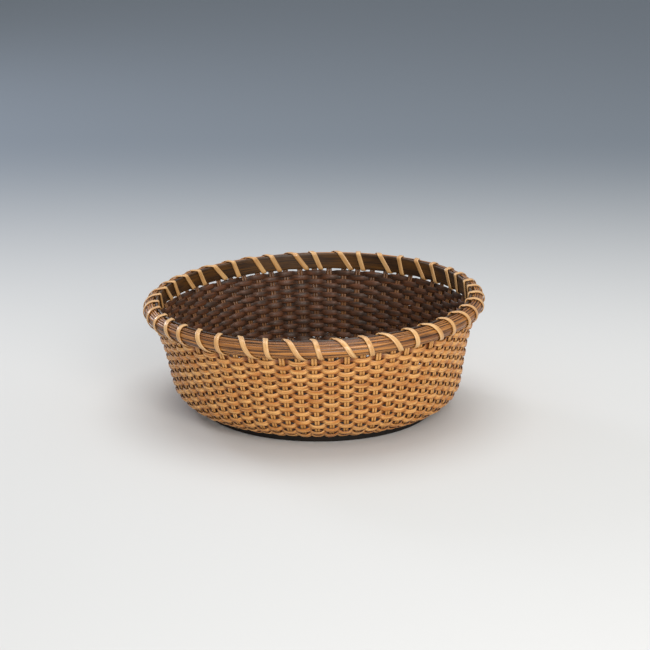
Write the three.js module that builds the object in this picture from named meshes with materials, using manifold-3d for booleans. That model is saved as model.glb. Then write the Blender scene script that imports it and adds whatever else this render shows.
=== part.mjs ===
// Woven fruit basket: a stained round base board, split-cane stakes set in its edge groove,
// rows of plain weave, and a rim of one flat inner hoop and five outer strips bound by a lashing.
// Millimetres, +Z up, origin on the floor under the middle of the base board.

import * as THREE from 'three';
import { mergeVertices } from 'three/addons/utils/BufferGeometryUtils.js';
import Module from 'manifold-3d';

// Overall sizes
const HEIGHT = 102;
const RIM_RADIUS = 150;
const BELLY_RADIUS = 126;
const BELLY_HEIGHT = 29;
const BASE_RADIUS = 102.8;

// Base board and the groove that holds the feet of the stakes
const BOARD_THICKNESS = 11;
const BOARD_CHAMFER = 0.8;
const GROOVE_HEIGHT = 7;
const GROOVE_DEPTH = 5.2;
const LIP_SETBACK = 2.6;
const FOOT_RING_THICKNESS = 1.2;

// Stakes and weavers
const STAKE_COUNT = 64;
const STAKE_FOOT_WIDTH = 4.2;
const STAKE_RIM_WIDTH = 5.2;
const STAKE_THICKNESS = 1;
const STAKE_TIP_DEPTH = 1;
const ROW_COUNT = 22;
const ROW_SPACE = 0.8;
const WEAVER_THICKNESS = 0.8;
const SLIT_HEIGHT = 2.4;

// Rim
const HOOP_HEIGHT = 14.3;
const HOOP_THICKNESS = 2.5;
const BUNDLE_DEPTH = 8.2;
const STRIP_COUNT = 5;
const LASHING_TURNS = 42;
const LASHING_WIDTH = 4.5;
const LASHING_THICKNESS = 0.9;

// Share of the bundle's depth at which its strips meet, and share of each strip taken off its sides
const STRIP_ROOT = 0.16;
const STRIP_TRIM = 0.02;

// Share of a turn that the lashing advances on its way up the inside, and share of that advance
// that is done at the top edge of the hoop
const LASHING_CLIMB = 0.5;
const CLIMB_AT_EDGE = 0.85;

// Clearances
const GAP = 0.3;
const MERGE_DISTANCE = 1e-4;

// Fineness of the curves
const BOARD_FACETS = 64;
const RING_FACETS = 48;
const CORNER_STEPS = 4;
const WALL_STEPS = 2;
const LASHING_BEND = 30;

// Directions of the wall, in degrees above the horizontal, how far the feet of the stakes run
// straight past the lip, and how strongly each direction pulls the curve of the wall
const FOOT_SLOPE = 8;
const BELLY_SLOPE = 84;
const FOOT_REACH = 1.2;
const FOOT_PULL = 0.6;
const BELLY_PULL = 0.58;
const WALL_PULL = 0.45;

const STEP_ANGLE = (2 * Math.PI) / STAKE_COUNT;

// How much further out the bends of the lashing lie, so that its flats clear the bundle
const bendReach = 1 / Math.cos(THREE.MathUtils.degToRad(LASHING_BEND / 2));

// Radii of the rim, from the outside in
const bundleOuter = RIM_RADIUS - LASHING_THICKNESS - GAP - BUNDLE_DEPTH * (bendReach - 1);
const bundleInner = bundleOuter - BUNDLE_DEPTH;
const stakeRimRadius = bundleInner - GAP - STAKE_THICKNESS / 2;
const hoopOuter = stakeRimRadius - STAKE_THICKNESS / 2 - GAP;
const hoopInner = hoopOuter - HOOP_THICKNESS;

// Heights of the rim
const rimTop = HEIGHT - LASHING_THICKNESS - GAP;
const rimBottom = rimTop - HOOP_HEIGHT;
const weaveTop = rimBottom - SLIT_HEIGHT;

// Colours and finishes
const varnishedCane = new THREE.MeshStandardMaterial({ color: 0xc99860, roughness: 0.42, metalness: 0 });
const paleCane = new THREE.MeshStandardMaterial({ color: 0xdab07a, roughness: 0.38, metalness: 0 });
const rimCane = new THREE.MeshStandardMaterial({ color: 0xa9784a, roughness: 0.4, metalness: 0 });
const hoopCane = new THREE.MeshStandardMaterial({ color: 0x8f6a3a, roughness: 0.45, metalness: 0 });
const blackStain = new THREE.MeshStandardMaterial({ color: 0x17140f, roughness: 0.6, metalness: 0 });

const wasm = await Module();
wasm.setup();

function toSolid(geometry) {
  const bare = geometry.clone();
  bare.deleteAttribute('normal');
  bare.deleteAttribute('uv');
  const merged = mergeVertices(bare, MERGE_DISTANCE);
  const vertProperties = Float32Array.from(merged.attributes.position.array);
  const triVerts = Uint32Array.from(merged.index.array);
  return new wasm.Manifold(new wasm.Mesh({ numProp: 3, vertProperties, triVerts }));
}

function fromSolid(solid) {
  const { vertProperties, triVerts } = solid.getMesh();
  const geometry = new THREE.BufferGeometry();
  geometry.setAttribute('position', new THREE.BufferAttribute(vertProperties, 3));
  geometry.setIndex(new THREE.BufferAttribute(triVerts, 1));
  return geometry;
}

// A direction in the upright plane through the axis, as an angle above the horizontal
function slope(degrees) {
  const angle = THREE.MathUtils.degToRad(degrees);
  return new THREE.Vector2(Math.cos(angle), Math.sin(angle));
}

// A point of that plane, turned round the axis
function turned(point, angle) {
  return new THREE.Vector3(point.x * Math.cos(angle), point.x * Math.sin(angle), point.y);
}

// The middle line of the wall from the foot of a stake to its tip: x is the radius, y the height
function wallLine() {
  const footTip = new THREE.Vector2(BASE_RADIUS - GROOVE_DEPTH + GAP, GROOVE_HEIGHT);
  const footEnd = new THREE.Vector2(BASE_RADIUS - LIP_SETBACK + FOOT_REACH, GROOVE_HEIGHT);
  const belly = new THREE.Vector2(BELLY_RADIUS, BELLY_HEIGHT);
  const wallEnd = new THREE.Vector2(stakeRimRadius, rimBottom - 2 * GAP);
  const rise = BELLY_HEIGHT - GROOVE_HEIGHT;
  const reach = BELLY_RADIUS - footEnd.x;
  const corner = new THREE.CubicBezierCurve(
    footEnd,
    footEnd.clone().addScaledVector(slope(FOOT_SLOPE), FOOT_PULL * reach),
    belly.clone().addScaledVector(slope(BELLY_SLOPE), -BELLY_PULL * rise),
    belly,
  );
  const wall = new THREE.QuadraticBezierCurve(
    belly,
    belly.clone().addScaledVector(slope(BELLY_SLOPE), WALL_PULL * (wallEnd.y - belly.y)),
    wallEnd,
  );
  const tip = new THREE.Vector2(stakeRimRadius, rimTop - STAKE_TIP_DEPTH);
  return [
    footTip,
    ...corner.getSpacedPoints(CORNER_STEPS),
    ...wall.getSpacedPoints(WALL_STEPS).slice(1),
    tip,
  ];
}

const line = wallLine();

// The direction of the wall line at each of its points, and how far along the line each point lies
const directions = line.map((point, i) => {
  const before = line[Math.max(i - 1, 0)];
  const after = line[Math.min(i + 1, line.length - 1)];
  const back = point.clone().sub(before).normalize();
  const ahead = after.clone().sub(point).normalize();
  return back.add(ahead).normalize();
});
const distances = [0];
for (let i = 1; i < line.length; i += 1) {
  distances.push(distances[i - 1] + line[i].distanceTo(line[i - 1]));
}

// Place and direction of the wall at a distance along its line
function wallAt(distance) {
  const i = Math.max(distances.findIndex((d) => d >= distance), 1);
  const share = (distance - distances[i - 1]) / (distances[i] - distances[i - 1]);
  const point = line[i - 1].clone().lerp(line[i], share);
  const along = directions[i - 1].clone().lerp(directions[i], share).normalize();
  const out = new THREE.Vector2(along.y, -along.x);
  return { point, along, out };
}

// Direction of the straight stretch of the wall line at a distance along it
function stretchAt(distance) {
  const i = Math.max(distances.findIndex((d) => d >= distance), 1);
  return line[i].clone().sub(line[i - 1]).normalize();
}

// Distance along the wall line at which one of its coordinates reaches a value
function distanceWhere(axis, value) {
  const i = line.findIndex((point) => point[axis] > value);
  const share = (value - line[i - 1][axis]) / (line[i][axis] - line[i - 1][axis]);
  return distances[i - 1] + share * (distances[i] - distances[i - 1]);
}

function stakeWidthAt(height) {
  const share = (height - GROOVE_HEIGHT) / (rimTop - GROOVE_HEIGHT);
  return THREE.MathUtils.lerp(STAKE_FOOT_WIDTH, STAKE_RIM_WIDTH, share);
}

// Triangles between neighbouring sections; the last section joins the first in a closed loft
function loft(sections, closed) {
  const size = sections[0].length;
  const indices = [];
  const last = closed ? sections.length : sections.length - 1;
  for (let i = 0; i < last; i += 1) {
    const here = i * size;
    const next = ((i + 1) % sections.length) * size;
    for (let j = 0; j < size; j += 1) {
      const k = (j + 1) % size;
      indices.push(here + j, next + k, here + k);
      indices.push(here + j, next + j, next + k);
    }
  }
  if (!closed) {
    const end = (sections.length - 1) * size;
    for (let j = 1; j < size - 1; j += 1) {
      indices.push(0, j, j + 1);
      indices.push(end, end + j + 1, end + j);
    }
  }
  const geometry = new THREE.BufferGeometry().setFromPoints(sections.flat());
  geometry.setIndex(indices);
  return geometry;
}

// A ring turned from a section that closes on itself. Faces that look at the axis are moved out
// so that the flats between facets, and not only the edges, keep their radius.
function turnedRing(section, innerPoints) {
  const stretch = 1 / Math.cos(Math.PI / RING_FACETS);
  const points = section.map((point, i) => {
    const radius = innerPoints.includes(i) ? point.x * stretch : point.x;
    return new THREE.Vector2(radius, point.y);
  });
  const ring = new THREE.LatheGeometry([...points, points[0].clone()], RING_FACETS);
  ring.rotateX(Math.PI / 2);
  return ring;
}

// Base board: a disc with a chamfered underside and a groove in its edge under a set-back lip
function baseBoard() {
  const slotHalf = FOOT_RING_THICKNESS / 2 + GAP;
  const lipRadius = BASE_RADIUS - LIP_SETBACK;
  const outline = [
    [0, 0],
    [BASE_RADIUS - BOARD_CHAMFER, 0],
    [BASE_RADIUS, BOARD_CHAMFER],
    [BASE_RADIUS, GROOVE_HEIGHT - slotHalf],
    [BASE_RADIUS - GROOVE_DEPTH - GAP, GROOVE_HEIGHT - slotHalf],
    [BASE_RADIUS - GROOVE_DEPTH - GAP, GROOVE_HEIGHT + slotHalf],
    [lipRadius, GROOVE_HEIGHT + slotHalf],
    [lipRadius, BOARD_THICKNESS - BOARD_CHAMFER],
    [lipRadius - BOARD_CHAMFER, BOARD_THICKNESS],
    [0, BOARD_THICKNESS],
  ];
  const points = outline.map(([radius, height]) => new THREE.Vector2(radius, height));
  const board = new THREE.LatheGeometry(points, BOARD_FACETS);
  board.rotateX(Math.PI / 2);
  return board;
}

function stake(angle) {
  const across = new THREE.Vector3(-Math.sin(angle), Math.cos(angle), 0);
  const sections = line.map((point, i) => {
    const along = directions[i];
    const out = new THREE.Vector2(along.y, -along.x).multiplyScalar(STAKE_THICKNESS / 2);
    const half = stakeWidthAt(point.y) / 2;
    const outer = turned(point.clone().add(out), angle);
    const inner = turned(point.clone().sub(out), angle);
    return [
      inner.clone().addScaledVector(across, -half),
      inner.clone().addScaledVector(across, half),
      outer.clone().addScaledVector(across, half),
      outer.clone().addScaledVector(across, -half),
    ];
  });
  return loft(sections, false);
}

// All stakes, joined at their feet by the thin ring that lies in the groove
function stakeCage() {
  const inside = BASE_RADIUS - GROOVE_DEPTH;
  const outside = BASE_RADIUS - LIP_SETBACK;
  const half = FOOT_RING_THICKNESS / 2;
  const section = [
    new THREE.Vector2(inside, GROOVE_HEIGHT - half),
    new THREE.Vector2(outside, GROOVE_HEIGHT - half),
    new THREE.Vector2(outside, GROOVE_HEIGHT + half),
    new THREE.Vector2(inside, GROOVE_HEIGHT + half),
  ];
  let cage = toSolid(turnedRing(section, [0, 3]));
  for (let k = 0; k < STAKE_COUNT; k += 1) {
    cage = cage.add(toSolid(stake(k * STEP_ANGLE)));
  }
  return fromSolid(cage);
}

const weaveStart = distanceWhere('x', BASE_RADIUS + 2 * GAP);
const rowPitch = (distanceWhere('y', weaveTop) - weaveStart) / ROW_COUNT;
const rowHeight = rowPitch - ROW_SPACE;

// How far a weaver swings to either side of the wall line so that it clears the stakes, with
// room for the lean between the upright of the row and the stretches of stake that it spans
function swingAt(distance) {
  const { point, along } = wallAt(distance);
  const spacing = point.x * STEP_ANGLE;
  const share = stakeWidthAt(point.y) / 2 / spacing;
  const sag = point.x * (1 - Math.cos(STEP_ANGLE));
  const leans = [-0.5, 0.5].map((end) => Math.abs(along.cross(stretchAt(distance + end * rowHeight))));
  const lean = Math.max(...leans) * (rowHeight / 2);
  const clear = (WEAVER_THICKNESS + STAKE_THICKNESS) / 2 + GAP + lean;
  return (clear + share * sag) / (1 - 2 * share);
}

// One row of weave: a ring that passes outside one stake and inside the next
function weaverRow(row) {
  const distance = weaveStart + (row + 0.5) * rowPitch;
  const { point, along, out } = wallAt(distance);
  const swing = swingAt(distance);
  const sections = [];
  for (let k = 0; k < STAKE_COUNT; k += 1) {
    const side = (k + row) % 2 === 0 ? swing : -swing;
    const corner = (outShare, alongShare) => {
      const place = point.clone();
      place.addScaledVector(out, side + outShare * WEAVER_THICKNESS);
      place.addScaledVector(along, alongShare * rowHeight);
      return turned(place, k * STEP_ANGLE);
    };
    sections.push([corner(-0.5, -0.5), corner(0.5, -0.5), corner(0.5, 0.5), corner(-0.5, 0.5)]);
  }
  return loft(sections, true);
}

function innerHoop() {
  const section = [
    new THREE.Vector2(hoopInner, rimBottom),
    new THREE.Vector2(hoopOuter, rimBottom),
    new THREE.Vector2(hoopOuter, rimTop),
    new THREE.Vector2(hoopInner, rimTop),
  ];
  return turnedRing(section, [0, 3]);
}

// The half-oval outline of the outer bundle: the angle runs from -90 at its foot to 90 at its top
function bundlePoint(degrees, scale) {
  const angle = THREE.MathUtils.degToRad(degrees);
  return new THREE.Vector2(
    bundleInner + BUNDLE_DEPTH * scale * Math.cos(angle),
    (rimTop + rimBottom) / 2 + (HOOP_HEIGHT / 2) * scale * Math.sin(angle),
  );
}

// One strip of the bundle: a wedge of the half oval, with half a gap taken off each side
function rimStrip(index) {
  const spread = 180 / STRIP_COUNT;
  const low = index * spread - 90;
  const high = low + spread;
  const trim = STRIP_TRIM * spread;
  const lowShift = slope(low + 90).multiplyScalar(GAP / 2);
  const highShift = slope(high - 90).multiplyScalar(GAP / 2);
  const section = [
    bundlePoint((low + high) / 2, STRIP_ROOT),
    bundlePoint(low + trim, 1).add(index > 0 ? lowShift : new THREE.Vector2()),
    bundlePoint((low + high) / 2, 1),
    bundlePoint(high - trim, 1).add(index < STRIP_COUNT - 1 ? highShift : new THREE.Vector2()),
  ];
  const innerPoints = [0];
  if (index === 0) innerPoints.push(1);
  if (index === STRIP_COUNT - 1) innerPoints.push(3);
  return turnedRing(section, innerPoints);
}

// The lashing: one strip wound round the rim, down the outside and up the inside. It passes
// under the hoops in the middle of a space between two stakes.
function lashing() {
  const turnAngle = (2 * Math.PI) / LASHING_TURNS;
  const crossing = (turn) => {
    const space = Math.floor((turn * STAKE_COUNT) / LASHING_TURNS);
    return (space + 0.5) * STEP_ANGLE;
  };
  const stations = [
    { point: new THREE.Vector2(hoopInner, rimBottom), out: new THREE.Vector2(-1, -1), rise: 0, fall: 0 },
    {
      point: new THREE.Vector2(hoopInner, rimTop),
      out: new THREE.Vector2(-1, 1),
      rise: CLIMB_AT_EDGE,
      fall: 0,
    },
  ];
  for (let degrees = 90; degrees >= -90; degrees -= LASHING_BEND) {
    const reach = Math.abs(degrees) === 90 ? 1 : bendReach;
    const fall = (90 - degrees) / 180;
    stations.push({ point: bundlePoint(degrees, reach), out: slope(degrees), rise: 1, fall });
  }
  const sections = [];
  for (let turn = 0; turn < LASHING_TURNS; turn += 1) {
    const top = (turn + LASHING_CLIMB) * turnAngle;
    for (const { point, out, rise, fall } of stations) {
      const climbed = THREE.MathUtils.lerp(crossing(turn), top, rise);
      const angle = THREE.MathUtils.lerp(climbed, crossing(turn + 1), fall);
      const under = point.clone().addScaledVector(out, GAP);
      const over = point.clone().addScaledVector(out, GAP + LASHING_THICKNESS);
      const across = new THREE.Vector3(-Math.sin(angle), Math.cos(angle), 0);
      const half = LASHING_WIDTH / 2;
      sections.push([
        turned(under, angle).addScaledVector(across, -half),
        turned(over, angle).addScaledVector(across, -half),
        turned(over, angle).addScaledVector(across, half),
        turned(under, angle).addScaledVector(across, half),
      ]);
    }
  }
  return loft(sections, true);
}

function piece(name, geometry, material) {
  const mesh = new THREE.Mesh(geometry, material);
  mesh.name = name;
  return mesh;
}

const basket = new THREE.Group();
basket.add(piece('base_board', baseBoard(), blackStain));
basket.add(piece('stake_cage', stakeCage(), paleCane));
for (let row = 0; row < ROW_COUNT; row += 1) {
  const number = String(row + 1).padStart(2, '0');
  basket.add(piece(`weaver_row_${number}`, weaverRow(row), varnishedCane));
}
basket.add(piece('inner_hoop', innerHoop(), hoopCane));
for (let index = 0; index < STRIP_COUNT; index += 1) {
  basket.add(piece(`rim_strip_${index + 1}`, rimStrip(index), rimCane));
}
basket.add(piece('lashing', lashing(), paleCane));

export default basket;
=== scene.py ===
"""Looks of a woven fruit basket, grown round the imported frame. Metres, +Z up, mouth upwards.

Every strip of cane is swept along its own path by a Geometry Nodes tree. The paths come from
the frame: the wall line from the rows of weave, the rim from its hoop and strips.
"""

import math
import random

import bpy
import numpy as np
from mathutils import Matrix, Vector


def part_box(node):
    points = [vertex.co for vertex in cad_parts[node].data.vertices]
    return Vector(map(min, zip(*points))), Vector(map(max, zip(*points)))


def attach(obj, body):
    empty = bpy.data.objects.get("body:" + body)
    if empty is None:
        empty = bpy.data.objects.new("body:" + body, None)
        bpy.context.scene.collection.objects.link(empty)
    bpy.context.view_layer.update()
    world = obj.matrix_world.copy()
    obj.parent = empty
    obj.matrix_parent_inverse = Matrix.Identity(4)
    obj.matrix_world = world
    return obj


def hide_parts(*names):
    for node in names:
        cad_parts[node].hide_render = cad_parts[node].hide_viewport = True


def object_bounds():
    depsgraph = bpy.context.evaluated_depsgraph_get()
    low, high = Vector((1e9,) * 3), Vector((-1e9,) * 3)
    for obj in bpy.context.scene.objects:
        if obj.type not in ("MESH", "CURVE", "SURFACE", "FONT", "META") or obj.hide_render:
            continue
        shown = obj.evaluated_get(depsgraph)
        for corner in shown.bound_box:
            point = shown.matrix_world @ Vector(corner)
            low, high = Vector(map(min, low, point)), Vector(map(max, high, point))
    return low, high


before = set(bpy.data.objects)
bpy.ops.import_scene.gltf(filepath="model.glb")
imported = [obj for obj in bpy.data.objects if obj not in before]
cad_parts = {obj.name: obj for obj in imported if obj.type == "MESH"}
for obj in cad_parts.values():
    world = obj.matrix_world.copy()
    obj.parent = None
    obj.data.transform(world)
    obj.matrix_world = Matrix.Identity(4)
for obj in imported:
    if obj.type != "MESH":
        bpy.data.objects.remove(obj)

MM = 0.001
TURN = 2 * math.pi

STAKES = 64
LASHING_TURNS = 42
ROWS = sorted(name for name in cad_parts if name.startswith("weaver_row_"))

# Sections of the cane, in metres: width along the surface, thickness out of it
WEAVER_THICKNESS = 1.3 * MM
REED_WIDTH = 2.6 * MM
REED_THICKNESS = 1.5 * MM
LASHING_WIDTH = 4.6 * MM
LASHING_THICKNESS = 1.1 * MM
SPLINT_THICKNESS = 3.4 * MM

# Splints of the outer bundle: width in millimetres, from its foot round the outside to its top
SPLINT_WIDTHS = [3.6, 4.5, 4.9, 4.4, 2.5, 2.1, 2.2]

# The weave. Width is in spacings of the rows, and is over 1 because the rows are pressed together
ROW_WIDTH = 1.18
SWING = 1.6 * MM
ROW_WOBBLE = 0.3 * MM
FLOAT_SLIMMING = 0.11
STEPS_PER_STAKE = 10
# How far an outside float sags, in millimetres: at an upright wall, and per slope of the wall
SAG = 0.62
SAG_PER_SLOPE = 0.3

# How far a wrap of the lashing strays, where it goes under the rim and where it goes over
CROSSING_STRAY = 1.3 * MM
TOP_STRAY = 2.2 * MM

# How far the lashing stands off the rim, and the radius of its bends at the hoop
LASHING_CLEARANCE = 0.3 * MM
LASHING_BEND = 0.9 * MM

# The wall leans a little over the base, as a hand-woven one does: to the left with height, and
# height gained per metre of height and metre to the right
LEAN = 0.04
TILT = 0.3

random.seed(64)
scene = bpy.context.scene
cad_low, cad_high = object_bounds()


# ---------------------------------------------------------------- small tools


def put(tree, kind, inputs=None, **settings):
    """Adds a node with its settings. An input is a value, a socket, or a node's first output."""
    node = tree.nodes.new(kind)
    for name, value in settings.items():
        setattr(node, name, value)
    for key, value in (inputs or {}).items():
        if isinstance(key, int):
            socket = node.inputs[key]
        else:
            socket = next(s for s in node.inputs if s.name == key and s.enabled)
        if isinstance(value, bpy.types.Node):
            value = next(s for s in value.outputs if s.enabled)
        if isinstance(value, bpy.types.NodeSocket):
            tree.links.new(value, socket)
        else:
            socket.default_value = value
    return node


def linear(hex_colour):
    """An sRGB hex colour as the linear RGBA that a shader takes."""
    channels = [int(hex_colour[i:i + 2], 16) / 255 for i in (1, 3, 5)]
    straight = [c / 12.92 if c <= 0.04045 else ((c + 0.055) / 1.055) ** 2.4 for c in channels]
    return (*straight, 1.0)


# ---------------------------------------------------------------- measures of the frame


def upright(node):
    """Radius and height of each vertex of a CAD node, in two columns."""
    co = np.array([v.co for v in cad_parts[node].data.vertices])
    return np.column_stack([np.hypot(co[:, 0], co[:, 1]), co[:, 2]])


def row_place(node):
    """Middle of a row of weave in the upright plane, and the direction in which it swings."""
    flat = upright(node)
    middle = flat.mean(axis=0)
    spread = np.cov((flat - middle).T)
    out = np.linalg.eigh(spread)[1][:, -1]
    return middle, out * np.sign(out[0])


row_places = [row_place(name) for name in ROWS]
row_middles = np.array([middle for middle, _ in row_places])
row_pitches = np.linalg.norm(np.gradient(row_middles, axis=0), axis=1)

board_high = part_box("base_board")[1]
board_radius = board_high.x
cage = upright("stake_cage")
cage_foot = cage[:, 1].min()
cage_tip = cage[:, 1].max()
stake_rim_radius = cage[cage[:, 1] > cage_tip - 1 * MM, 0].mean()

hoop = upright("inner_hoop")
hoop_bottom, hoop_top = hoop[:, 1].min(), hoop[:, 1].max()
hoop_inner, hoop_outer = hoop[:, 0].min(), hoop[:, 0].max()
bundle_inner = upright("rim_strip_1")[:, 0].min()
bundle_outer = upright("rim_strip_3")[:, 0].max()
bundle_depth = bundle_outer - bundle_inner
rim_middle = (hoop_top + hoop_bottom) / 2
rim_half = (hoop_top - hoop_bottom) / 2


# ---------------------------------------------------------------- materials


def cane_material(name, colours, width, fibre, streaks, roughness, coat, edge_shade_from=0.72,
                  away_shade=0.0):
    """Split cane under varnish. It reads the attributes that the sweeps leave on a strip:
    along and across it, the face it turns out or in, how proud it lies, and which strand it is.
    """
    light, dark, streak, inside_light, inside, inside_streak = map(linear, colours)
    fibre_length, fibre_width, cloud_length = fibre
    material = bpy.data.materials.new(name)
    material.use_nodes = True
    tree = material.node_tree
    tree.nodes.clear()
    along = put(tree, "ShaderNodeAttribute", attribute_name="along").outputs["Fac"]
    across = put(tree, "ShaderNodeAttribute", attribute_name="across").outputs["Fac"]
    face = put(tree, "ShaderNodeAttribute", attribute_name="face").outputs["Fac"]
    lift = put(tree, "ShaderNodeAttribute", attribute_name="lift").outputs["Fac"]
    strand = put(tree, "ShaderNodeAttribute", attribute_name="strand").outputs["Fac"]

    # Fibres and pores run along the strip
    fibre_along = put(tree, "ShaderNodeMath", {0: along, 1: 1 / fibre_length}, operation="MULTIPLY")
    fibre_across = put(
        tree, "ShaderNodeMath", {0: across, 1: width / 2 / fibre_width}, operation="MULTIPLY"
    )
    fibre_place = put(
        tree, "ShaderNodeCombineXYZ", {"X": fibre_along, "Y": fibre_across, "Z": strand}
    )
    fibres = put(
        tree,
        "ShaderNodeTexNoise",
        {"Vector": fibre_place, "Scale": 1.0, "Detail": 4.0, "Roughness": 0.6},
    ).outputs["Fac"]

    # Cloudy changes of colour along it, different on each strand
    cloud_along = put(tree, "ShaderNodeMath", {0: along, 1: 1 / cloud_length}, operation="MULTIPLY")
    cloud_strand = put(tree, "ShaderNodeMath", {0: strand, 1: 7.3}, operation="MULTIPLY")
    cloud_place = put(
        tree, "ShaderNodeCombineXYZ", {"X": cloud_along, "Y": cloud_strand, "Z": across}
    )
    clouds = put(
        tree, "ShaderNodeTexNoise", {"Vector": cloud_place, "Scale": 1.0, "Detail": 3.0}
    ).outputs["Fac"]
    cloud_share = put(
        tree, "ShaderNodeMapRange", {"Value": clouds, "From Min": 0.38, "From Max": 0.62}
    )
    body = put(
        tree, "ShaderNodeMix", {"Factor": cloud_share, "A": light, "B": dark}, data_type="RGBA"
    )

    # Darker fibres that took up more stain
    streak_share = put(
        tree,
        "ShaderNodeMapRange",
        {"Value": fibres, "From Min": 0.49, "From Max": 0.62, "To Max": streaks},
    )
    fibred = put(
        tree,
        "ShaderNodeMix",
        {"Factor": streak_share, "A": body.outputs[2], "B": streak},
        data_type="RGBA",
    )

    # Painted shade: darker where a strip dives between its neighbours, and along its edges in the
    # crevices between strips
    sunk_shade = put(
        tree,
        "ShaderNodeMapRange",
        {"Value": lift, "From Min": 0.25, "From Max": -0.7, "To Max": 0.9},
    )
    from_middle = put(tree, "ShaderNodeMath", {0: across}, operation="ABSOLUTE")
    edge = put(
        tree,
        "ShaderNodeMapRange",
        {"Value": from_middle, "From Min": edge_shade_from, "From Max": 0.95, "To Max": streaks},
    )
    shaded = put(tree, "ShaderNodeMath", {0: sunk_shade, 1: edge}, operation="MAXIMUM")
    # The outward colour with this painted shade mixed in
    shade_painted = put(
        tree,
        "ShaderNodeMix",
        {"Factor": shaded, "A": fibred.outputs[2], "B": streak},
        data_type="RGBA",
    )

    # The side that looks into the basket took the stain darkest
    inward = put(
        tree, "ShaderNodeMapRange", {"Value": face, "From Min": 0.1, "From Max": -0.3}
    )
    inside_body = put(
        tree,
        "ShaderNodeMix",
        {"Factor": cloud_share, "A": inside_light, "B": inside},
        data_type="RGBA",
    )
    inside_fibred = put(
        tree,
        "ShaderNodeMix",
        {"Factor": streak_share, "A": inside_body.outputs[2], "B": inside_streak},
        data_type="RGBA",
    )
    # Seen from inside, a woven strip is in the dark where it goes out past a stake
    away = put(
        tree,
        "ShaderNodeMapRange",
        {"Value": lift, "From Min": -0.45, "From Max": 0.35, "To Max": away_shade},
    )
    # The inward colour with this painted shade mixed in
    inside_shade_painted = put(
        tree,
        "ShaderNodeMix",
        {"Factor": away, "A": inside_fibred.outputs[2], "B": inside_streak},
        data_type="RGBA",
    )
    colour = put(
        tree,
        "ShaderNodeMix",
        {"Factor": inward, "A": shade_painted.outputs[2], "B": inside_shade_painted.outputs[2]},
        data_type="RGBA",
    )
    rough = put(
        tree,
        "ShaderNodeMapRange",
        {"Value": fibres, "From Min": 0.3, "From Max": 0.7, "To Min": roughness - 0.08,
         "To Max": roughness + 0.12},
    )
    duller = put(
        tree, "ShaderNodeMath", {0: inward, 1: 0.15, 2: rough}, operation="MULTIPLY_ADD"
    )
    bump = put(
        tree,
        "ShaderNodeBump",
        {"Height": fibres, "Strength": 0.6, "Distance": 0.25 * MM},
    )
    shader = put(
        tree,
        "ShaderNodeBsdfPrincipled",
        {"Base Color": colour.outputs[2], "Roughness": duller, "IOR": 1.5, "Normal": bump,
         "Coat Weight": coat, "Coat Roughness": 0.16},
    )
    put(tree, "ShaderNodeOutputMaterial", {"Surface": shader})
    return material


# Colours: light, dark and streaks of the outward side, then of the inward one. Then the width of
# the strip, and its fibres: their length and width, and the length of a cloud of colour. Then how
# strongly fibres are stained, which also sets how dark the painted edge shade is, the roughness,
# and the weight of the coat.

# Split rattan weavers under clear varnish: golden tan, a soft sheen on the crown of each float
weaver_cane = cane_material(
    "varnished_split_rattan_weaver",
    ("#E3AC66", "#BE7A34", "#6A3006", "#63381A", "#38200B", "#1C0E04"),
    4 * MM, (14 * MM, 0.34 * MM, 18 * MM), 0.65, 0.42, 0.08, away_shade=0.4,
)
# Round reed stakes, paler and yellower than the weavers
stake_cane = cane_material(
    "varnished_rattan_reed_stake",
    ("#E0A862", "#C48A46", "#7A4618", "#86582C", "#5C3A1A", "#2C1608"),
    REED_WIDTH, (20 * MM, 0.3 * MM, 30 * MM), 0.6, 0.42, 0.2,
)
# Rattan peel of the lashing: pale, smooth and glossy
lashing_cane = cane_material(
    "glossy_rattan_peel_lashing",
    ("#DFB57C", "#C8965C", "#8E5E30", "#D0A060", "#B58040", "#7A4C20"),
    LASHING_WIDTH, (24 * MM, 0.5 * MM, 26 * MM), 0.4, 0.34, 0.3,
)
# Split rattan of the rim bundle: browner, with long dark streaks under glossy varnish
rim_cane = cane_material(
    "stained_split_rattan_rim",
    ("#BC7E3A", "#7C4818", "#241002", "#8A5C2A", "#62391A", "#2A1206"),
    # Its painted edge shade starts further from the edges, to darken the grooves between the
    # splints
    4 * MM, (38 * MM, 0.6 * MM, 60 * MM), 0.95, 0.4, 0.15, edge_shade_from=0.5,
)
# Flat rattan hoop: the rim's stain, darkened further as painted shade of the mouth
hoop_cane_painted_shade = cane_material(
    "flat_rattan_hoop_painted_shade",
    ("#94622C", "#683F16", "#261002", "#5C3A0C", "#382004", "#140800"),
    2 * rim_half, (45 * MM, 0.8 * MM, 40 * MM), 0.95, 0.36, 0.15,
)


def black_stain():
    """Turned wooden board under black stain: nearly black, faint grain, satin."""
    material = bpy.data.materials.new("black_stained_turned_wood")
    material.use_nodes = True
    tree = material.node_tree
    tree.nodes.clear()
    place = put(tree, "ShaderNodeTexCoord").outputs["Object"]
    grain_place = put(tree, "ShaderNodeMapping", {"Vector": place, "Scale": (30, 900, 300)})
    grain = put(
        tree, "ShaderNodeTexNoise", {"Vector": grain_place, "Scale": 1.0, "Detail": 5.0}
    ).outputs["Fac"]
    share = put(
        tree, "ShaderNodeMapRange", {"Value": grain, "From Min": 0.35, "From Max": 0.7}
    )
    colour = put(
        tree,
        "ShaderNodeMix",
        {"Factor": share, "A": linear("#0C0806"), "B": linear("#1C130D")},
        data_type="RGBA",
    )
    bump = put(
        tree, "ShaderNodeBump", {"Height": grain, "Strength": 0.35, "Distance": 0.2 * MM}
    )
    shader = put(
        tree,
        "ShaderNodeBsdfPrincipled",
        {"Base Color": colour.outputs[2], "Roughness": 0.6, "IOR": 1.5, "Normal": bump,
         "Specular IOR Level": 0.3},
    )
    put(tree, "ShaderNodeOutputMaterial", {"Surface": shader})
    return material


# ---------------------------------------------------------------- geometry trees


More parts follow.
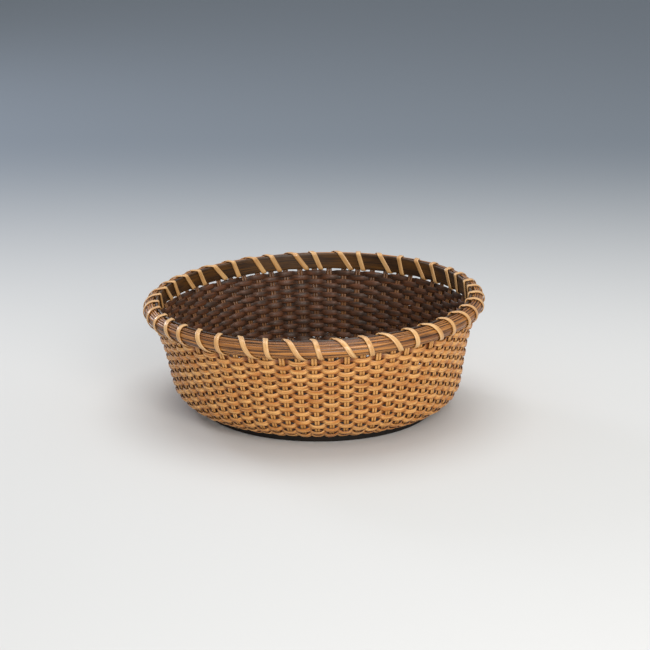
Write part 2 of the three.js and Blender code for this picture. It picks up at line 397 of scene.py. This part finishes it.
def new_tree(name, inputs):
    """An empty Geometry Nodes tree with named inputs, given as {name: (kind, default)}."""
    tree = bpy.data.node_groups.new(name, "GeometryNodeTree")
    tree.interface.new_socket(
        "Geometry", in_out="OUTPUT", socket_type="NodeSocketGeometry"
    )
    tree.interface.new_socket(
        "Geometry", in_out="INPUT", socket_type="NodeSocketGeometry"
    )
    for label, (kind, default) in inputs.items():
        socket = tree.interface.new_socket(
            label, in_out="INPUT", socket_type=f"NodeSocket{kind}"
        )
        if default is not None:
            socket.default_value = default
    return tree, tree.nodes.new("NodeGroupInput").outputs


def named(tree, geometry, name, value, domain="POINT"):
    """Stores a number on the geometry under a name that the materials read."""
    return put(
        tree,
        "GeometryNodeStoreNamedAttribute",
        {"Geometry": geometry, "Name": name, "Value": value},
        domain=domain,
    )


def section(tree, thickness, width, squareness, sides):
    """The closed outline of a strip: x goes through it and y across it. A squareness of 1 is an
    oval, and a lower one has flatter faces."""
    ring = put(tree, "GeometryNodeCurvePrimitiveCircle", {"Resolution": sides, "Radius": 1.0})
    place = put(tree, "GeometryNodeInputPosition")
    axes = put(tree, "ShaderNodeSeparateXYZ", {0: place})
    flattened = []
    for axis in ("X", "Y"):
        size = put(tree, "ShaderNodeMath", {0: axes.outputs[axis]}, operation="ABSOLUTE")
        power = put(tree, "ShaderNodeMath", {0: size, 1: squareness}, operation="POWER")
        side = put(tree, "ShaderNodeMath", {0: axes.outputs[axis]}, operation="SIGN")
        flattened.append(
            put(tree, "ShaderNodeMath", {0: power, 1: side}, operation="MULTIPLY")
        )
    marked = named(tree, named(tree, ring, "face", flattened[0]), "across", flattened[1])
    half_thickness = put(tree, "ShaderNodeMath", {0: thickness, 1: 0.5}, operation="MULTIPLY")
    half_width = put(tree, "ShaderNodeMath", {0: width, 1: 0.5}, operation="MULTIPLY")
    x = put(tree, "ShaderNodeMath", {0: flattened[0], 1: half_thickness}, operation="MULTIPLY")
    y = put(tree, "ShaderNodeMath", {0: flattened[1], 1: half_width}, operation="MULTIPLY")
    corner = put(tree, "ShaderNodeCombineXYZ", {"X": x, "Y": y})
    return put(tree, "GeometryNodeSetPosition", {"Geometry": marked, "Position": corner})


def finish_tree(tree, mesh, material):
    """Realizes what the tree made, smooths its shading and gives it its material."""
    real = put(tree, "GeometryNodeRealizeInstances", {"Geometry": mesh})
    smooth = put(tree, "GeometryNodeSetShadeSmooth", {"Geometry": real})
    painted = put(
        tree, "GeometryNodeSetMaterial", {"Geometry": smooth, "Material": material}
    )
    put(tree, "NodeGroupOutput", {"Geometry": painted})
    return tree


def cane_ring_tree():
    """A ring of cane about the axis. With a swing it weaves out and in between the stakes."""
    tree, given = new_tree("cane_ring", {
        "Radius": ("Float", 0.13),
        "Height": ("Float", 0.05),
        "Out Across": ("Float", 1.0),
        "Out Up": ("Float", 0.0),
        "Swing": ("Float", 0.0),
        "Sag": ("Float", 0.0),
        "Stakes": ("Int", STAKES),
        "Steps per Stake": ("Int", 10),
        "Phase": ("Float", 0.0),
        "Strip Width": ("Float", 0.0035),
        "Strip Thickness": ("Float", 0.0015),
        "Squareness": ("Float", 0.8),
        "Sides": ("Int", 10),
        "Wobble": ("Float", 0.0003),
        "Waves": ("Float", 4.0),
        "Strand": ("Float", 0.0),
        "Material": ("Material", None),
    })
    steps = put(
        tree,
        "ShaderNodeMath",
        {0: given["Stakes"], 1: given["Steps per Stake"]},
        operation="MULTIPLY",
    )
    ring = put(tree, "GeometryNodeCurvePrimitiveCircle", {"Resolution": steps, "Radius": 1.0})
    index = put(tree, "GeometryNodeInputIndex")
    share = put(tree, "ShaderNodeMath", {0: index, 1: steps}, operation="DIVIDE")
    angle = put(tree, "ShaderNodeMath", {0: share, 1: TURN}, operation="MULTIPLY")
    cosine = put(tree, "ShaderNodeMath", {0: angle}, operation="COSINE")
    sine = put(tree, "ShaderNodeMath", {0: angle}, operation="SINE")
    radial = put(tree, "ShaderNodeCombineXYZ", {"X": cosine, "Y": sine})

    # Outward direction of the wall here, and the direction up the wall at right angles to it
    out_flat = put(
        tree,
        "ShaderNodeVectorMath",
        {0: radial, "Scale": given["Out Across"]},
        operation="SCALE",
    )
    out_up = put(tree, "ShaderNodeCombineXYZ", {"Z": given["Out Up"]})
    out = put(tree, "ShaderNodeVectorMath", {0: out_flat, 1: out_up}, operation="ADD")
    back = put(tree, "ShaderNodeMath", {0: given["Out Up"], 1: -1.0}, operation="MULTIPLY")
    up_flat = put(
        tree, "ShaderNodeVectorMath", {0: radial, "Scale": back}, operation="SCALE"
    )
    up_up = put(tree, "ShaderNodeCombineXYZ", {"Z": given["Out Across"]})
    up = put(tree, "ShaderNodeVectorMath", {0: up_flat, 1: up_up}, operation="ADD")

    # The weave: a cosine with a flattened crest over each stake, 1 outside and -1 inside
    beat = put(tree, "ShaderNodeMath", {0: given["Stakes"], 1: 0.5}, operation="MULTIPLY")
    swung = put(tree, "ShaderNodeMath", {0: angle, 1: beat}, operation="MULTIPLY")
    offset = put(tree, "ShaderNodeMath", {0: given["Phase"], 1: math.pi}, operation="MULTIPLY")
    argument = put(tree, "ShaderNodeMath", {0: swung, 1: offset}, operation="ADD")
    wave = put(tree, "ShaderNodeMath", {0: argument}, operation="COSINE")
    square = put(tree, "ShaderNodeMath", {0: wave, 1: wave}, operation="MULTIPLY")
    slack = put(
        tree, "ShaderNodeMath", {0: square, 1: -0.5, 2: 1.5}, operation="MULTIPLY_ADD"
    )
    lift = put(tree, "ShaderNodeMath", {0: wave, 1: slack}, operation="MULTIPLY")

    # Unevenness of hand work: the ring drifts up and down the wall, and its floats differ
    seed = put(tree, "ShaderNodeMath", {0: given["Strand"], 1: 3.7}, operation="MULTIPLY")
    slow_seed = put(tree, "ShaderNodeMath", {0: given["Strand"], 1: 0.12}, operation="MULTIPLY")
    drift = put(
        tree,
        "ShaderNodeTexNoise",
        {"Vector": radial, "W": slow_seed, "Scale": given["Waves"], "Detail": 1.0},
        noise_dimensions="4D",
    )
    drift_side = put(
        tree, "ShaderNodeMath", {0: drift.outputs["Fac"], 1: 0.5}, operation="SUBTRACT"
    )
    drift_size = put(
        tree, "ShaderNodeMath", {0: given["Wobble"], 1: 4.0}, operation="MULTIPLY"
    )
    drifted = put(
        tree, "ShaderNodeMath", {0: drift_side, 1: drift_size}, operation="MULTIPLY"
    )
    uneven = put(
        tree,
        "ShaderNodeTexNoise",
        {"Vector": radial, "W": seed, "Scale": 14.0, "Detail": 0.0},
        noise_dimensions="4D",
    ).outputs["Fac"]
    float_share = put(
        tree, "ShaderNodeMath", {0: uneven, 1: 0.5, 2: 0.75}, operation="MULTIPLY_ADD"
    )
    reach = put(
        tree, "ShaderNodeMath", {0: given["Swing"], 1: float_share}, operation="MULTIPLY"
    )
    pushed = put(tree, "ShaderNodeMath", {0: reach, 1: lift}, operation="MULTIPLY")
    outside = put(tree, "ShaderNodeMath", {0: lift, 1: 0.0}, operation="MAXIMUM")
    sagged = put(tree, "ShaderNodeMath", {0: given["Sag"], 1: outside}, operation="MULTIPLY")
    raised = put(tree, "ShaderNodeMath", {0: drifted, 1: sagged}, operation="SUBTRACT")

    circle = put(
        tree,
        "ShaderNodeVectorMath",
        {0: radial, "Scale": given["Radius"]},
        operation="SCALE",
    )
    level = put(tree, "ShaderNodeCombineXYZ", {"Z": given["Height"]})
    on_level = put(tree, "ShaderNodeVectorMath", {0: circle, 1: level}, operation="ADD")
    out_by = put(
        tree, "ShaderNodeVectorMath", {0: out, "Scale": pushed}, operation="SCALE"
    )
    up_by = put(
        tree, "ShaderNodeVectorMath", {0: up, "Scale": raised}, operation="SCALE"
    )
    swung_out = put(tree, "ShaderNodeVectorMath", {0: on_level, 1: out_by}, operation="ADD")
    place = put(tree, "ShaderNodeVectorMath", {0: swung_out, 1: up_by}, operation="ADD")
    path = put(tree, "GeometryNodeSetPosition", {"Geometry": ring, "Position": place})
    turned = put(
        tree, "GeometryNodeSetCurveNormal", {"Curve": path, "Normal": out}, mode="FREE"
    )
    length = put(
        tree, "ShaderNodeMath", {0: angle, 1: given["Radius"]}, operation="MULTIPLY"
    )

    # A ring that doesn't weave lies proud all the way round
    weaves = put(
        tree, "ShaderNodeMath", {0: given["Swing"], 1: 0.0}, operation="GREATER_THAN"
    )
    proud = put(tree, "ShaderNodeMath", {0: 1.0, 1: weaves}, operation="SUBTRACT")
    lifted = put(
        tree, "ShaderNodeMath", {0: lift, 1: weaves, 2: proud}, operation="MULTIPLY_ADD"
    )
    marked = named(tree, named(tree, turned, "along", length), "lift", lifted)
    marked = named(tree, marked, "strand", given["Strand"])
    outline = section(
        tree,
        given["Strip Thickness"],
        given["Strip Width"],
        given["Squareness"],
        given["Sides"],
    )
    thick_share = put(
        tree, "ShaderNodeMath", {0: uneven, 1: 0.16, 2: 0.94}, operation="MULTIPLY_ADD"
    )
    # A float is slimmer outside a stake and fuller inside, where it closes the wall
    slim = put(
        tree,
        "ShaderNodeMath",
        {0: wave, 1: -FLOAT_SLIMMING, 2: 1.0},
        operation="MULTIPLY_ADD",
    )
    slimmed = put(tree, "ShaderNodeMix", {"Factor": weaves, "A": 1.0, "B": slim})
    girth = put(
        tree, "ShaderNodeMath", {0: thick_share, 1: slimmed}, operation="MULTIPLY"
    )
    mesh = put(
        tree,
        "GeometryNodeCurveToMesh",
        {"Curve": marked, "Profile Curve": outline, "Scale": girth},
    )
    return finish_tree(tree, mesh, given["Material"])


def stake_tree():
    """Pairs of reeds that follow the wall line, one pair at each step round the axis."""
    tree, given = new_tree("reed_pairs", {
        "Stakes": ("Int", STAKES),
        "Steps": ("Int", 56),
        "Reed Width": ("Float", 0.0026),
        "Reed Thickness": ("Float", 0.0019),
        "Foot Share": ("Float", 0.8),
        "Wander": ("Float", 0.0006),
        "Seed": ("Int", 3),
        "Material": ("Material", None),
    })
    wire = put(tree, "GeometryNodeMeshToCurve", {"Mesh": given["Geometry"]})
    bent = put(tree, "GeometryNodeCurveSplineType", {"Curve": wire}, spline_type="CATMULL_ROM")
    path = put(tree, "GeometryNodeResampleCurve", {"Curve": bent, "Count": given["Steps"]})
    ahead = put(tree, "ShaderNodeSeparateXYZ", {0: put(tree, "GeometryNodeInputTangent")})
    down = put(tree, "ShaderNodeMath", {0: ahead.outputs["X"], 1: -1.0}, operation="MULTIPLY")
    out = put(tree, "ShaderNodeCombineXYZ", {"X": ahead.outputs["Z"], "Z": down})
    turned = put(
        tree, "GeometryNodeSetCurveNormal", {"Curve": path, "Normal": out}, mode="FREE"
    )
    progress = put(tree, "GeometryNodeSplineParameter")
    marked = named(tree, turned, "along", progress.outputs["Length"])
    outline = section(tree, given["Reed Thickness"], given["Reed Width"], 0.9, 8)
    apart = put(tree, "ShaderNodeMath", {0: given["Reed Width"], 1: 0.51}, operation="MULTIPLY")
    pair = put(tree, "GeometryNodeJoinGeometry")
    for side in (-1.0, 1.0):
        shift = put(tree, "ShaderNodeMath", {0: apart, 1: side}, operation="MULTIPLY")
        moved = put(
            tree,
            "GeometryNodeTransform",
            {"Geometry": outline, "Translation": put(tree, "ShaderNodeCombineXYZ", {"Y": shift})},
        )
        tree.links.new(moved.outputs[0], pair.inputs[0])
    taper = put(
        tree,
        "ShaderNodeMapRange",
        {"Value": progress.outputs["Factor"], "To Min": given["Foot Share"], "To Max": 1.0},
    )
    reeds = put(
        tree,
        "GeometryNodeCurveToMesh",
        {"Curve": marked, "Profile Curve": pair, "Scale": taper, "Fill Caps": True},
    )
    index = put(tree, "GeometryNodeInputIndex")
    step = put(tree, "ShaderNodeMath", {0: TURN, 1: given["Stakes"]}, operation="DIVIDE")
    angle = put(tree, "ShaderNodeMath", {0: index, 1: step}, operation="MULTIPLY")
    spin = put(tree, "ShaderNodeCombineXYZ", {"Z": angle})
    posts = put(tree, "GeometryNodeMeshLine", {"Count": given["Stakes"], "Offset": (0, 0, 0)})
    stood = put(
        tree,
        "GeometryNodeInstanceOnPoints",
        {
            "Points": posts,
            "Instance": reeds,
            "Rotation": put(tree, "FunctionNodeEulerToRotation", {0: spin}),
        },
    )
    numbered = named(tree, stood, "strand", index, domain="INSTANCE")
    real = put(tree, "GeometryNodeRealizeInstances", {"Geometry": numbered})

    # Each stake wanders a little to one side and back as it climbs
    place = put(tree, "GeometryNodeInputPosition")
    axes = put(tree, "ShaderNodeSeparateXYZ", {0: place})
    strand = put(
        tree, "GeometryNodeInputNamedAttribute", {"Name": "strand"}, data_type="FLOAT"
    )
    seed = put(
        tree, "ShaderNodeMath", {0: strand, 1: 5.31, 2: given["Seed"]}, operation="MULTIPLY_ADD"
    )
    climb = put(tree, "ShaderNodeCombineXYZ", {"Z": axes.outputs["Z"]})
    lean = put(
        tree,
        "ShaderNodeTexNoise",
        {"Vector": climb, "W": seed, "Scale": 12.0, "Detail": 0.0},
        noise_dimensions="4D",
    ).outputs["Fac"]
    lean_side = put(tree, "ShaderNodeMath", {0: lean, 1: 0.5}, operation="SUBTRACT")
    lean_by = put(
        tree, "ShaderNodeMath", {0: lean_side, 1: given["Wander"]}, operation="MULTIPLY"
    )
    lean_size = put(tree, "ShaderNodeMath", {0: lean_by, 1: 4.0}, operation="MULTIPLY")
    flat = put(tree, "ShaderNodeCombineXYZ", {"X": axes.outputs["X"], "Y": axes.outputs["Y"]})
    sideways = put(
        tree, "ShaderNodeVectorMath", {0: (0, 0, 1), 1: flat}, operation="CROSS_PRODUCT"
    )
    unit = put(tree, "ShaderNodeVectorMath", {0: sideways}, operation="NORMALIZE")
    shift = put(tree, "ShaderNodeVectorMath", {0: unit, "Scale": lean_size}, operation="SCALE")
    leaned = put(tree, "GeometryNodeSetPosition", {"Geometry": real, "Offset": shift})
    proud = named(tree, leaned, "lift", 0.45)
    return finish_tree(tree, proud, given["Material"])


def bound_strip_tree():
    """A flat strip that follows a closed wire, its face turned the way the wire's points say."""
    tree, given = new_tree("bound_strip", {
        "Strip Width": ("Float", 0.0045),
        "Strip Thickness": ("Float", 0.0009),
        "Squareness": ("Float", 0.5),
        "Sides": ("Int", 12),
        "Material": ("Material", None),
    })
    wire = put(tree, "GeometryNodeMeshToCurve", {"Mesh": given["Geometry"]})
    out = put(
        tree, "GeometryNodeInputNamedAttribute", {"Name": "out"}, data_type="FLOAT_VECTOR"
    )
    turned = put(
        tree, "GeometryNodeSetCurveNormal", {"Curve": wire, "Normal": out}, mode="FREE"
    )
    progress = put(tree, "GeometryNodeSplineParameter")
    marked = named(tree, turned, "along", progress.outputs["Length"])
    marked = named(tree, marked, "lift", 1.0)
    marked = named(tree, marked, "strand", 5.0)
    outline = section(
        tree,
        given["Strip Thickness"],
        given["Strip Width"],
        given["Squareness"],
        given["Sides"],
    )
    mesh = put(
        tree, "GeometryNodeCurveToMesh", {"Curve": marked, "Profile Curve": outline}
    )
    return finish_tree(tree, mesh, given["Material"])


def settle(mesh):
    """Sets a finished mesh slightly askew with the rest of the hand-woven wall."""
    co = np.zeros(len(mesh.vertices) * 3)
    mesh.vertices.foreach_get("co", co)
    co = co.reshape(-1, 3)
    co[:, 0] -= LEAN * co[:, 2]
    co[:, 2] *= 1 + TILT * co[:, 0]
    mesh.vertices.foreach_set("co", co.ravel())
    mesh.update()


def grow(name, tree, values, stands_for, wire=None):
    """Makes a piece with a tree, keeps the result as a plain mesh and hangs it on the frame."""
    piece = bpy.data.objects.new(name, wire or bpy.data.meshes.new(name))
    scene.collection.objects.link(piece)
    modifier = piece.modifiers.new(tree.name, "NODES")
    modifier.node_group = tree
    for item in tree.interface.items_tree:
        if item.in_out == "INPUT" and item.name in values:
            modifier[item.identifier] = values[item.name]
    graph = bpy.context.evaluated_depsgraph_get()
    mesh = bpy.data.meshes.new_from_object(
        piece.evaluated_get(graph), preserve_all_data_layers=True, depsgraph=graph
    )
    piece.modifiers.remove(modifier)
    piece.data = mesh
    mesh.name = name
    settle(mesh)
    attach(piece, "root")
    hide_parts(*stands_for)
    return piece


# ---------------------------------------------------------------- the weave

cane_ring = cane_ring_tree()

for number, (name, (middle, out)) in enumerate(zip(ROWS, row_places)):
    grow(f"cane_row_{number + 1:02d}", cane_ring, {
        "Radius": float(middle[0]),
        "Height": float(middle[1]),
        "Out Across": float(out[0]),
        "Out Up": float(out[1]),
        "Swing": SWING,
        "Sag": (SAG - SAG_PER_SLOPE * float(out[1])) * MM,
        "Stakes": STAKES,
        "Steps per Stake": STEPS_PER_STAKE,
        "Phase": float(number % 2),
        "Strip Width": float(row_pitches[number]) * ROW_WIDTH,
        "Strip Thickness": WEAVER_THICKNESS,
        "Squareness": 0.86,
        "Sides": 10,
        "Wobble": ROW_WOBBLE,
        "Waves": 4.0,
        "Strand": number * 1.37 + 1.0,
        "Material": weaver_cane,
    }, [name])


def wall_wire():
    """The line that a stake follows: out of the groove, through the rows, up between the hoops."""
    foot_height = cage_foot + REED_THICKNESS / 4
    foot_inner, foot_outer = board_radius - 4.6 * MM, board_radius - 1.6 * MM
    points = [(foot_inner, foot_height), (foot_outer, foot_height)]
    points += [tuple(middle) for middle, _ in row_places]
    points += [(stake_rim_radius, hoop_bottom), (stake_rim_radius, cage_tip)]
    mesh = bpy.data.meshes.new("wall_wire")
    edges = [(i, i + 1) for i in range(len(points) - 1)]
    mesh.from_pydata([(radius, 0, height) for radius, height in points], edges, [])
    return mesh


grow("reed_stakes", stake_tree(), {
    "Stakes": STAKES,
    "Steps": 56,
    "Reed Width": REED_WIDTH,
    "Reed Thickness": REED_THICKNESS,
    "Foot Share": 0.8,
    "Wander": 0.5 * MM,
    "Seed": 3,
    "Material": stake_cane,
}, ["stake_cage"], wall_wire())


# ---------------------------------------------------------------- the rim

grow("flat_inner_hoop", cane_ring, {
    "Radius": float((hoop_inner + hoop_outer) / 2),
    "Height": float(rim_middle),
    "Out Across": 1.0,
    "Out Up": 0.0,
    "Swing": 0.0,
    "Stakes": STAKES,
    "Steps per Stake": 6,
    "Strip Width": float(2 * rim_half),
    "Strip Thickness": float(hoop_outer - hoop_inner),
    "Squareness": 0.35,
    "Sides": 24,
    "Wobble": 0.1 * MM,
    "Waves": 3.0,
    "Strand": 40.0,
    "Material": hoop_cane_painted_shade,
}, ["inner_hoop"])


def bundle_place(angle, inset):
    """A point on the half-oval outline of the bundle, set in from it, and its outward direction."""
    across = (bundle_depth - inset) * math.cos(angle)
    up = (rim_half - inset) * math.sin(angle)
    out = np.array([math.cos(angle) / bundle_depth, math.sin(angle) / rim_half])
    return (bundle_inner + across, rim_middle + up), out / np.linalg.norm(out)


def rim_bundle():
    """Splints laid side by side round the half oval, each a ring of its own."""
    total = sum(SPLINT_WIDTHS)
    done = 0
    for number, width in enumerate(SPLINT_WIDTHS):
        angle = math.pi * ((done + width / 2) / total - 0.5)
        done += width
        (radius, height), out = bundle_place(angle, SPLINT_THICKNESS / 2)
        strip = min(5, 1 + number * 5 // len(SPLINT_WIDTHS))
        grow(f"rim_splint_{number + 1}", cane_ring, {
            "Radius": float(radius),
            "Height": float(height),
            "Out Across": float(out[0]),
            "Out Up": float(out[1]),
            "Swing": 0.0,
            "Stakes": STAKES,
            "Steps per Stake": 6,
            "Strip Width": width * MM,
            "Strip Thickness": SPLINT_THICKNESS,
            "Squareness": 0.95,
            "Sides": 16,
            "Wobble": 0.28 * MM,
            "Waves": 3.0,
            "Strand": 50.0 + number * 2.3,
            "Material": rim_cane,
        }, [f"rim_strip_{strip}"])


rim_bundle()


def lashing_outline():
    """The closed line round hoop and bundle that the middle of the lashing follows, evenly
    spaced from the middle of its run under the rim: up inside, over the top, down outside."""
    proud = LASHING_THICKNESS / 2 + LASHING_CLEARANCE
    bend = LASHING_BEND
    inner = hoop_inner - proud
    low, high = hoop_bottom - proud, hoop_top + proud
    start = (hoop_inner + bundle_inner) / 2
    line = [(start, low)]
    for first, middle in ((-90, (inner + bend, low + bend)), (180, (inner + bend, high - bend))):
        for step in range(5):
            angle = math.radians(first - step * 22.5)
            line.append((middle[0] + bend * math.cos(angle), middle[1] + bend * math.sin(angle)))
    for degrees in range(90, -91, -6):
        place, out = bundle_place(math.radians(degrees), 0)
        line.append((place[0] + proud * out[0], place[1] + proud * out[1]))
    line.append((start, low))
    line = np.array(line)
    lengths = np.concatenate([[0], np.cumsum(np.linalg.norm(np.diff(line, axis=0), axis=1))])
    steps = 44
    at = np.arange(steps) / steps * lengths[-1]
    even = np.column_stack([np.interp(at, lengths, line[:, i]) for i in (0, 1)])
    ahead = np.roll(even, -1, axis=0) - np.roll(even, 1, axis=0)
    ahead /= np.linalg.norm(ahead, axis=1)[:, None]
    out = np.column_stack([-ahead[:, 1], ahead[:, 0]])
    top_share = np.interp(bundle_inner, line[6:12, 0], lengths[6:12]) / lengths[-1]
    return even, out, float(top_share)


def lashing_wire():
    """The whole lashing as one closed wire, passing under the rim between two stakes."""
    even, out, top_share = lashing_outline()
    steps = len(even)
    crossings = [
        (math.floor(turn * STAKES / LASHING_TURNS) + 0.5) * TURN / STAKES
        + random.uniform(-CROSSING_STRAY, CROSSING_STRAY) / stake_rim_radius
        for turn in range(LASHING_TURNS)
    ]
    crossings.append(crossings[0] + TURN)
    tops = [
        (turn + 0.5) * TURN / LASHING_TURNS
        + random.uniform(-TOP_STRAY, TOP_STRAY) / stake_rim_radius
        for turn in range(LASHING_TURNS)
    ]
    # The strip runs straight under the rim until it rises, and again from where it has come down
    rise_share, down_share = 0.06, 0.92
    points, faces_out = [], []
    for turn in range(LASHING_TURNS):
        for step in range(steps):
            share = step / steps
            angle = np.interp(
                share,
                [0, rise_share, top_share, down_share, 1],
                [crossings[turn], crossings[turn], tops[turn]] + [crossings[turn + 1]] * 2,
            )
            cosine, sine = math.cos(angle), math.sin(angle)
            radius, height = even[step]
            points.append((radius * cosine, radius * sine, height))
            faces_out.append((out[step, 0] * cosine, out[step, 0] * sine, out[step, 1]))
    mesh = bpy.data.meshes.new("lashing_wire")
    count = len(points)
    mesh.from_pydata(points, [(i, (i + 1) % count) for i in range(count)], [])
    attribute = mesh.attributes.new("out", "FLOAT_VECTOR", "POINT")
    attribute.data.foreach_set("vector", np.array(faces_out).ravel())
    return mesh


grow("peel_lashing", bound_strip_tree(), {
    "Strip Width": LASHING_WIDTH,
    "Strip Thickness": LASHING_THICKNESS,
    "Squareness": 0.7,
    "Sides": 12,
    "Material": lashing_cane,
}, ["lashing"], lashing_wire())


# ---------------------------------------------------------------- the base board


def turned_board():
    """The base board as turned: rounded edges and the groove for the feet of the stakes."""
    round_edge = 1.2 * MM
    groove_low, groove_high = cage_foot - 0.4 * MM, cage_foot + 1.7 * MM
    groove_inner = board_radius - 5.5 * MM
    lip = board_radius - 2.7 * MM
    thick = board_high.z
    outline = [(0, 0)]
    outline += [
        (board_radius - round_edge * (1 - math.sin(a)), round_edge * (1 - math.cos(a)))
        for a in np.linspace(0, math.pi / 2, 7)
    ]
    outline += [
        (board_radius, groove_low - 0.3 * MM),
        (board_radius - 0.3 * MM, groove_low),
        (groove_inner, groove_low),
        (groove_inner, groove_high),
        (lip, groove_high),
    ]
    outline += [
        (lip - round_edge * (1 - math.cos(a)), thick - round_edge * (1 - math.sin(a)))
        for a in np.linspace(0, math.pi / 2, 7)
    ]
    outline += [(lip * 0.5, thick), (0, thick)]
    sides = 192
    vertices = [(0, 0, 0), (0, 0, thick)]
    ring = outline[1:-1]
    for k in range(sides):
        angle = k * TURN / sides
        vertices += [(r * math.cos(angle), r * math.sin(angle), z) for r, z in ring]
    faces = []
    for k in range(sides):
        here, there = 2 + k * len(ring), 2 + (k + 1) % sides * len(ring)
        faces.append((0, there, here))
        for i in range(len(ring) - 1):
            faces.append((here + i, there + i, there + i + 1, here + i + 1))
        faces.append((1, here + len(ring) - 1, there + len(ring) - 1))
    mesh = bpy.data.meshes.new("turned_base_board")
    mesh.from_pydata(vertices, [], faces)
    mesh.shade_smooth()
    mesh.set_sharp_from_angle(angle=math.radians(35))
    mesh.materials.append(black_stain())
    board = bpy.data.objects.new("turned_base_board", mesh)
    scene.collection.objects.link(board)
    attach(board, "root")
    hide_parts("base_board")


turned_board()


# ---------------------------------------------------------------- studio


def floor():
    """A wide pale sheet, greyed off a little way behind the basket by painted shade."""
    material = bpy.data.materials.new("matt_paper_sweep")
    material.use_nodes = True
    tree = material.node_tree
    tree.nodes.clear()
    place = put(tree, "ShaderNodeTexCoord").outputs["Object"]
    axes = put(tree, "ShaderNodeSeparateXYZ", {0: place})
    behind = put(
        tree,
        "ShaderNodeMapRange",
        {"Value": axes.outputs["Y"], "From Min": 0.05, "From Max": 1.1},
        interpolation_type="SMOOTHSTEP",
    )
    # Painted shade: the sheet darkens to a blue grey behind the basket, where the light falls off
    colour = put(
        tree,
        "ShaderNodeMix",
        {"Factor": behind, "A": linear("#D2D5D7"), "B": linear("#7E8893")},
        data_type="RGBA",
    )
    shader = put(
        tree,
        "ShaderNodeBsdfPrincipled",
        {"Base Color": colour.outputs[2], "Roughness": 0.85, "Specular IOR Level": 0.2},
    )
    put(tree, "ShaderNodeOutputMaterial", {"Surface": shader})
    mesh = bpy.data.meshes.new("floor")
    mesh.from_pydata([(-6, -6, 0), (6, -6, 0), (6, 6, 0), (-6, 6, 0)], [], [(0, 1, 2, 3)])
    mesh.materials.append(material)
    sheet = bpy.data.objects.new("floor", mesh)
    scene.collection.objects.link(sheet)


def soft_light(name, power, size, place, target, colour):
    data = bpy.data.lights.new(name, "AREA")
    data.shape = "DISK"
    data.energy = power
    data.size = size
    data.color = linear(colour)[:3]
    lamp = bpy.data.objects.new(name, data)
    scene.collection.objects.link(lamp)
    lamp.location = place
    aim = target - lamp.location
    lamp.rotation_euler = aim.to_track_quat("-Z", "Y").to_euler()
    return lamp


def studio():
    middle = (cad_low + cad_high) / 2
    soft_light("overhead_softbox", 12.0, 1.3, (0.05, 0.3, 1.5), middle, "#FFFBF5")
    soft_light("front_softbox", 24, 1.1, (0.5, -1.65, 0.75), middle, "#FFF8F0")
    soft_light("window_behind_left", 6, 0.5, (-1.1, 1.3, 0.75), middle, "#F4F4FF")
    world = bpy.data.worlds.new("pale_room")
    world.use_nodes = True
    back = world.node_tree.nodes["Background"]
    back.inputs["Color"].default_value = linear("#F0F0F0")
    back.inputs["Strength"].default_value = 0.58
    scene.world = world


def camera():
    """A long lens in front of the basket, looking down at its rim from 16 degrees."""
    distance, elevation = 2.2, math.radians(16.05)
    aim_down, aim_side = math.radians(90 - 16.78), math.radians(-0.16)
    data = bpy.data.cameras.new("camera")
    data.sensor_width = 36
    data.lens = 139
    view = bpy.data.objects.new("camera", data)
    scene.collection.objects.link(view)
    view.location = (
        0,
        -distance * math.cos(elevation),
        cad_high.z + distance * math.sin(elevation),
    )
    view.rotation_euler = (aim_down, 0, aim_side)
    scene.camera = view


scene.view_settings.view_transform = "Standard"
floor()
studio()
camera()
